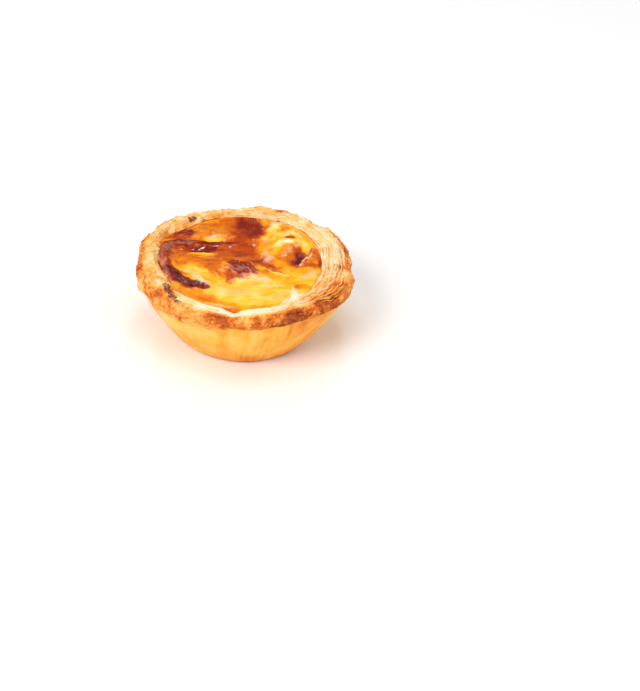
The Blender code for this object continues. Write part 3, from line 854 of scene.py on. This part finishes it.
# Folds of skin: stations along the line with the half width at each, height, how far it is scorched (None
# leaves that as it is), and how strongly. The first is the long dark fold at the left. A pale level on a
# raised crest is a painted highlight, and the flat dark line in front of the long fold is its painted
# shadow.
FOLDS = (
    (((-28.0, -4.0, 1.6), (-28.4, 1.5, 2.4), (-27.8, 6.0, 3.0), (-24.6, 9.2, 2.5), (-20.5, 10.7, 1.6),
      (-13.5, 12.0, 0.8)), 1.0, 0.72, 1.0),
    (((-21.0, 10.2, 0.9), (-14.0, 11.7, 0.8), (-8.0, 13.0, 0.6), (-2.0, 14.5, 0.5)), 0.25, 0.80, 0.9),
    # a painted shadow in front of the long fold: a dark line with no height
    (((-22.5, 8.4, 0.9), (-15.5, 9.6, 1.0), (-9.0, 11.2, 0.6)), 0, 0.76, 0.8),
    (((-28.6, 4.0, 2.2), (-27.6, -2.0, 1.7), (-25.8, -8.0, 2.0), (-22.0, -13.0, 3.0)), 0.6, 0.71, 0.9),
    (((-26.0, -6.0, 0.9), (-24.2, -10.4, 1.8), (-21.4, -13.8, 2.8), (-17.4, -16.8, 2.6),
      (-8.4, -19.4, 0.5)), 0.8, 0.82, 1.0),
    (((-24.4, -1.6, 0.5), (-23.4, -5.4, 0.6)), 0.7, 0.35, 0.6),
    (((-16.5, -10.5, 0.7), (-13.5, -14.5, 1.4), (-10.5, -18.0, 0.8)), 0.7, None, 0),
    # pale lines along raised crests, painted lighter as highlights
    (((-22.0, -5.5, 0.4), (-16.0, -7.0, 0.5), (-11.0, -8.5, 0.4)), 0.5, 0.16, 0.7),
    (((-21.0, 1.5, 0.5), (-15.0, 4.4, 0.7), (-10.0, 4.0, 0.5)), 0.6, 0.22, 0.7),
    (((7.0, -2.4, 0.4), (10.0, -5.4, 0.5), (14.3, -7.2, 0.6), (16.2, -4.4, 0.4)), 0.8, 0.16, 0.9),
    (((23.4, 14.0, 0.4), (21.6, 8.0, 0.6), (20.2, 0.0, 0.5)), 0.6, 0.60, 0.7),
    (((17.0, 0.0, 0.5), (22.0, 0.2, 0.6), (26.5, 1.2, 0.4)), 0.4, 0.60, 0.6),
    (((6.0, 28.0, 0.8), (9.4, 25.0, 1.1), (7.0, 20.5, 0.8)), 0.7, None, 0),
    (((9.5, 15.5, 0.6), (13.0, 11.3, 1.0), (18.0, 13.8, 0.7)), 0.7, None, 0),
    (((12.5, 21.5, 0.6), (16.0, 20.5, 1.0), (18.4, 17.0, 0.6)), 0.6, None, 0),
    (((-10.0, 0.2, 0.5), (-6.0, 2.4, 0.5), (0.0, 0.4, 0.5), (5.0, -2.6, 0.4)), 0.7, 0.48, 0.5),
    # a pale crest line, painted lighter as a highlight
    (((-4.0, -13.0, 0.4), (1.0, -12.6, 0.5), (6.0, -12.4, 0.4), (9.0, -9.0, 0.4)), 0.5, 0.14, 0.6),
    (((-10.5, -27.0, 0.5), (-6.0, -28.6, 0.6), (-2.0, -29.0, 0.5)), 0.6, 0.34, 0.7),
)

# Swells and hollows: middle, half length and half width, turn, and height
SWELLS = (
    ((-14.0, 17.6), (8.0, 3.4), 10, 1.1),
    ((-17.0, 7.0), (9.0, 2.2), 10, -0.9),
    ((-3.0, 10.0), (7.5, 4.6), 0, -1.2),
    ((-0.5, 24.5), (5.0, 4.5), 0, -0.4),
    ((11.5, 19.0), (6.5, 7.5), 20, 1.1),
    ((14.0, 10.5), (5.0, 3.0), -30, 0.6),
    ((18.6, 5.5), (1.9, 3.6), -5, -1.1),
    ((23.6, 8.0), (2.4, 5.0), 0, 0.3),
    ((-3.0, -5.8), (7.5, 5.2), -20, 1.3),
    ((4.6, 3.0), (3.4, 2.2), -10, -1.0),
    ((8.2, 3.2), (2.0, 3.4), -10, 0.8),
    ((11.0, -4.2), (5.0, 1.7), -18, -0.4),
    ((4.0, -10.0), (6.0, 2.6), -8, 0.7),
    ((-18.5, 0.0), (6.0, 5.0), -10, 0.8),
    ((-13.8, -13.6), (6.0, 2.6), -52, 0.9),
    ((1.0, -19.0), (14.0, 7.0), 3, 0.5),
)

# Wrinkled places: middle, half sizes, turn, which way the wrinkles run, how far apart and how deep
WRINKLES = (
    ((-2.5, -5.8), (8.0, 6.0), -20, -52, 1.5, 0.85),
    ((4.5, -9.5), (5.5, 3.4), -10, 60, 1.4, 0.55),
    ((11.5, -4.5), (6.0, 3.0), -18, -22, 1.2, 0.45),
    ((13.0, 18.5), (7.5, 9.5), 0, 50, 2.4, 0.65),
    ((20.0, 6.0), (6.0, 8.0), 0, 72, 1.7, 0.35),
    ((8.0, 5.0), (3.5, 5.0), 0, 80, 1.2, 0.45),
    ((-17.5, -16.5), (6.0, 4.0), -40, -30, 1.2, 0.65),
    ((-21.0, 15.0), (6.0, 4.0), 12, 30, 1.3, 0.5),
    ((-17.0, -7.0), (7.0, 3.0), -10, -20, 1.6, 0.4),
    ((-13.5, -14.0), (5.0, 3.0), -50, 35, 0.9, 0.45),
    ((-17.0, 1.0), (7.0, 5.0), 0, 20, 1.8, 0.35),
    ((0.0, 24.0), (6.0, 8.0), 0, 82, 2.2, 0.25),
    ((2.0, -20.0), (16.0, 6.0), 0, 12, 1.8, 0.20),
    ((19.0, -6.0), (6.0, 5.0), 30, 38, 1.6, 0.28),
)


def along_and_aside(x, y, turn):
    """Places measured along a direction, which is turned from +X, and across it."""
    cosine, sine = math.cos(math.radians(turn)), math.sin(math.radians(turn))
    return x * cosine + y * sine, y * cosine - x * sine


def oval_share(x, y, middle, half_sizes, turn):
    """1 in the middle of an oval, falling smoothly outwards."""
    along, aside = along_and_aside(x - middle[0], y - middle[1], turn)
    return np.exp(-0.7 * ((along / half_sizes[0]) ** 2 + (aside / half_sizes[1]) ** 2))


def line_share(x, y, stations):
    """1 on a line through the stations, falling off over its half width there and dying out at its ends."""
    lengths = [math.dist(here[:2], there[:2]) for here, there in zip(stations, stations[1:])]
    nearest, position, passed = np.full(len(x), 9e9), np.zeros(len(x)), 0
    for (x0, y0, w0), (x1, y1, w1), length in zip(stations, stations[1:], lengths):
        share = np.clip(((x - x0) * (x1 - x0) + (y - y0) * (y1 - y0)) / length**2, 0, 1)
        apart = np.hypot(x - x0 - share * (x1 - x0), y - y0 - share * (y1 - y0)) / (w0 + (w1 - w0) * share)
        position = np.where(apart < nearest, (passed + share * length) / sum(lengths), position)
        nearest = np.minimum(nearest, apart)
        passed += length
    return np.exp(-(nearest**2)) * eased(np.minimum(position, 1 - position), -0.02, 0.16)


def disc_grid(count):
    """An even grid over the unit disc, with squares mapped to rings."""
    side = np.linspace(-1, 1, count)
    u, v = np.meshgrid(side, side, indexing="ij")
    longer = np.where(np.abs(u) > np.abs(v), u, v)
    turn = np.where(np.abs(u) > np.abs(v), math.pi / 4 * v / np.where(u == 0, 1, u),
                    math.pi / 2 - math.pi / 4 * u / np.where(v == 0, 1, v))
    return np.stack((longer * np.cos(turn), longer * np.sin(turn)), axis=-1).reshape(-1, 2)


def skin_wrinkles(x, y, near_x, near_y):
    """How high the fine wrinkles of the skin stand."""
    wrinkles = np.zeros_like(x)
    for number, (middle, half_sizes, turn, way, spacing, depth) in enumerate(WRINKLES):
        along, aside = along_and_aside(near_x, near_y, way)
        lines = np.stack((along / WRINKLE_STRETCH, aside, np.full_like(x, 7.3 * number)), axis=-1)
        place = np.clip(1.4 * oval_share(x, y, middle, half_sizes, turn), 0, 1)
        coarse, fine = creased(lines, spacing * 1.6, 71), creased(lines, spacing * 0.8, 72)
        own = depth * place * (0.62 * coarse + 0.42 * fine)
        wrinkles = np.maximum(wrinkles, own) + 0.25 * np.minimum(wrinkles, own)
    return wrinkles * (1 - 0.85 * line_share(x, y, FOLDS[0][0]))  # the long fold is taut


def custard_skin(x, y, share, angle):
    """The custard's top: height, how far it is scorched, with painted light and shade added to that, and
    how pale it is where the skin has dried out and where highlights and sheen are painted.
    """
    flat = np.stack((x, y, 0 * x), axis=-1)
    bent_x, bent_y = x + 0.8 * rough(flat, 7, 3, 41), y + 0.8 * rough(flat, 7, 3, 45)
    near_x, near_y = bent_x + 0.4 * rough(flat, 2.2, 2, 51), bent_y + 0.4 * rough(flat, 2.2, 2, 55)
    ragged = 0.22 * rough(flat, 3.0, 4, 65)
    wrinkles = skin_wrinkles(x, y, near_x, near_y)

    scorched_and_shading = np.full_like(x, PLAIN_CUSTARD)
    for *oval, level, sharpness in TOAST:
        near = oval_share(near_x, near_y, *oval)
        near = eased(near + ragged * 4 * near * (1 - near), 0.5 - 0.4 / sharpness, 0.5 + 0.3 / sharpness)
        scorched_and_shading = scorched_and_shading + (level - scorched_and_shading) * near
    height = sum(rise * oval_share(bent_x, bent_y, *oval) for *oval, rise in SWELLS)
    for stations, rise, level, strength in FOLDS:
        near = line_share(0.5 * (x + near_x), 0.5 * (y + near_y), stations)
        height = height + rise * near**0.8
        if level is not None:
            fold_level = level + 0.10 * rough(flat, 2.0, 3, 85) * (level > 0.6)
            scorched_and_shading = scorched_and_shading + (fold_level - scorched_and_shading) * strength * eased(near + ragged * 1.2, 0.2, 0.7)
    swirls = rough(np.stack((near_x / SWIRL_STRETCH, near_y, 0 * x), axis=-1), 3.6, 4, 61)
    scorched_and_shading = scorched_and_shading + 0.085 * swirls * (1 - eased(scorched_and_shading, 0.5, 0.8))
    height = height + wrinkles + 0.22 * rough(flat, 7, 2, 75)
    # painted light and shade: the tops of wrinkles are painted lighter as highlights and their feet darker
    # as shade, most of all where the skin is yellow
    contrast = 0.10 + 0.22 * (1 - eased(scorched_and_shading, 0.4, 0.6))
    scorched_and_shading = scorched_and_shading + contrast * (0.22 - wrinkles) * eased(wrinkles, 0.02, 0.1) * (scorched_and_shading < 0.8)

    # painted highlights as a pale film on the tops of the wrinkles; the table's pale places follow
    dry_skin_and_highlights = 0.16 * eased(wrinkles, 0.3, 0.7)
    broken = 1.6 * ragged + 0.45 * rough(flat, 1.3, 3, 67)
    for *oval, pale in DRY_SKIN_AND_HIGHLIGHT_PLACES:
        near = oval_share(near_x, near_y, *oval)
        dry_skin_and_highlights = np.maximum(dry_skin_and_highlights, 0.85 * pale * eased(near * (1 + 1.3 * broken), 0.2, 1.05))

    inward = 1 - eased(share, 0.86, 1.0)
    climbing = bells(angle, CLIMBS) * eased(share, 0.78, 0.97)
    height = CUSTARD_HEIGHT + 0.1 + height * (0.3 + 0.7 * inward) - 0.5 * eased(share, 0.95, 1.0) + climbing
    edge_band = eased(share + 0.03 * lumps(flat, 3, 77), 0.93, 0.985)
    scorched_and_shading = scorched_and_shading + edge_band * np.clip(0.50 - scorched_and_shading, 0, 1) * 0.8
    return height, np.clip(scorched_and_shading, 0, 1), np.clip(dry_skin_and_highlights, 0, 1) * (1 - 0.7 * edge_band)


def custard(material):
    """The filling: its skin, plain hidden sides down to the pastry's floor, and a flat underside."""
    disc = disc_grid(CUSTARD_GRID)
    share, angle = np.hypot(disc[:, 0], disc[:, 1]), np.arctan2(disc[:, 1], disc[:, 0])
    reach = share * (lip_radius(angle) + UNDER_RIM)
    x, y = reach * np.cos(angle), reach * np.sin(angle)
    height, scorched_and_shading, dry_skin_and_highlights = custard_skin(x, y, share, angle)
    top = np.stack((x, y, height), axis=-1)
    quads, edge = sheet_faces(CUSTARD_GRID, CUSTARD_GRID)
    layers, faces, count, last = [top], quads.tolist(), len(top), edge
    lip = lip_radius(angle[edge])
    for level in np.linspace(CUSTARD_HEIGHT - SIDE_DROP, FLOOR_THICKNESS + FLOOR_GAP, SIDE_RINGS):
        down = (level - FLOOR_THICKNESS) / (CUSTARD_HEIGHT - FLOOR_THICKNESS)
        radius = INNER_FLOOR_RADIUS + SIDE_OVERLAP + (lip + SIDE_OVERLAP - INNER_FLOOR_RADIUS) * down
        layers.append(turned(radius, np.full(len(edge), level), angle[edge]))
        following = count + np.arange(len(edge))
        faces += band_faces(following, last)
        last = following
        count += len(edge)
    layers.append(np.array([[0, 0, FLOOR_THICKNESS + FLOOR_GAP]]))
    faces += [(int(here), count, int(there)) for here, there in zip(last, np.roll(last, -1))]
    points = np.concatenate(layers)
    hidden = (0, len(points) - len(top))
    scorched_and_shading = np.pad(scorched_and_shading, hidden, constant_values=PLAIN_CUSTARD)
    marks = {"scorched_and_shading": scorched_and_shading, "dry_skin_and_highlights": np.pad(dry_skin_and_highlights, hidden)}
    return piece("custard_filling", points, faces, material, marks, "custard")


# ---- floor, light and camera

SURROUNDINGS_STRENGTH = 0.23
FLOOR_REACH = 3  # metres from the middle


def studio():
    """Plain white surroundings and a white paper floor."""
    world = bpy.data.worlds.new("studio")
    world.use_nodes = True
    world.node_tree.nodes["Background"].inputs["Color"].default_value = (1, 1, 1, 1)
    world.node_tree.nodes["Background"].inputs["Strength"].default_value = SURROUNDINGS_STRENGTH
    bpy.context.scene.world = world
    bpy.context.scene.view_settings.view_transform = "Standard"

    paper = bpy.data.materials.new("white_paper")
    paper.use_nodes = True
    paper.node_tree.nodes["Principled BSDF"].inputs["Base Color"].default_value = (0.93, 0.93, 0.93, 1)
    paper.node_tree.nodes["Principled BSDF"].inputs["Roughness"].default_value = 0.9
    mesh = bpy.data.meshes.new("floor")
    corners = [(x * FLOOR_REACH, y * FLOOR_REACH, 0) for x, y in ((-1, -1), (1, -1), (1, 1), (-1, 1))]
    mesh.from_pydata(corners, [], [(0, 1, 2, 3)])
    mesh.materials.append(paper)
    floor = bpy.data.objects.new("floor", mesh)
    bpy.context.scene.collection.objects.link(floor)


def softbox(name, azimuth, elevation, distance, size, watts):
    """A round light that looks at the tart. Azimuth 0 is in front of it and 90 at its right, and
    lengths are in metres."""
    lamp = bpy.data.lights.new(name, "AREA")
    lamp.shape, lamp.size, lamp.energy = "DISK", size, watts
    made = bpy.data.objects.new(name, lamp)
    a, e = math.radians(azimuth), math.radians(elevation)
    back = Vector((math.sin(a) * math.cos(e), -math.cos(a) * math.cos(e), math.sin(e)))
    made.location = back * distance
    made.rotation_euler = back.to_track_quat("Z", "Y").to_euler()
    bpy.context.scene.collection.objects.link(made)


CAMERA_LENS, SENSOR_WIDTH = 85.0, 36.0
CAMERA_DISTANCE = 0.5665  # metres, from the point that it aims at
CAMERA_ELEVATION = math.radians(34.5)
CAMERA_ROLL = math.radians(4.0)
AIM_RIGHT, AIM_DOWN = 0.02625, 0.02701  # metres from the tart's middle to the aim, as the camera sees it
MIDDLE_HEIGHT = 0.0236  # metres, of that middle


def camera():
    """Looks at the tart from the front and above, a little turned, with the tart up and to the left."""
    ahead = Vector((0, math.cos(CAMERA_ELEVATION), -math.sin(CAMERA_ELEVATION)))
    level_up = Vector((0, math.sin(CAMERA_ELEVATION), math.cos(CAMERA_ELEVATION)))
    right = Vector((1, 0, 0)) * math.cos(CAMERA_ROLL) + level_up * math.sin(CAMERA_ROLL)
    up = level_up * math.cos(CAMERA_ROLL) - Vector((1, 0, 0)) * math.sin(CAMERA_ROLL)
    aim = Vector((0, 0, MIDDLE_HEIGHT)) + AIM_RIGHT * right - AIM_DOWN * up
    lens = bpy.data.cameras.new("camera")
    lens.lens, lens.sensor_width = CAMERA_LENS, SENSOR_WIDTH
    made = bpy.data.objects.new("camera", lens)
    turn = Matrix((right, up, -ahead)).transposed().to_4x4()
    made.matrix_world = Matrix.Translation(aim - CAMERA_DISTANCE * ahead) @ turn
    bpy.context.scene.collection.objects.link(made)
    bpy.context.scene.camera = made


# Each light's azimuth, elevation, distance, size and watts. The small ones make the wet glints.
LIGHTS = {
    "key": (-35, 42, 1.5, 0.8, 14.5),
    "fill": (50, 35, 1.6, 1.0, 6.0),
    "above": (0, 84, 1.5, 0.9, 5.5),
    "back_left": (-128, 24, 1.6, 0.9, 4.0),
    "back_right": (128, 24, 1.6, 0.9, 4.0),
    "glint": (172, 60, 1.0, 0.07, 0.7),
    "side_glint": (-150, 50, 1.0, 0.07, 0.5),
}

camera()
studio()
for light, setting in LIGHTS.items():
    softbox(light, *setting)

flaky = flaky_pastry()
for pastry_piece in (rolled_rim, open_leaves, rim_crumbs, torn_leaf):
    pastry_piece(flaky)
smooth_case(tin_baked_pastry())
custard(baked_custard())
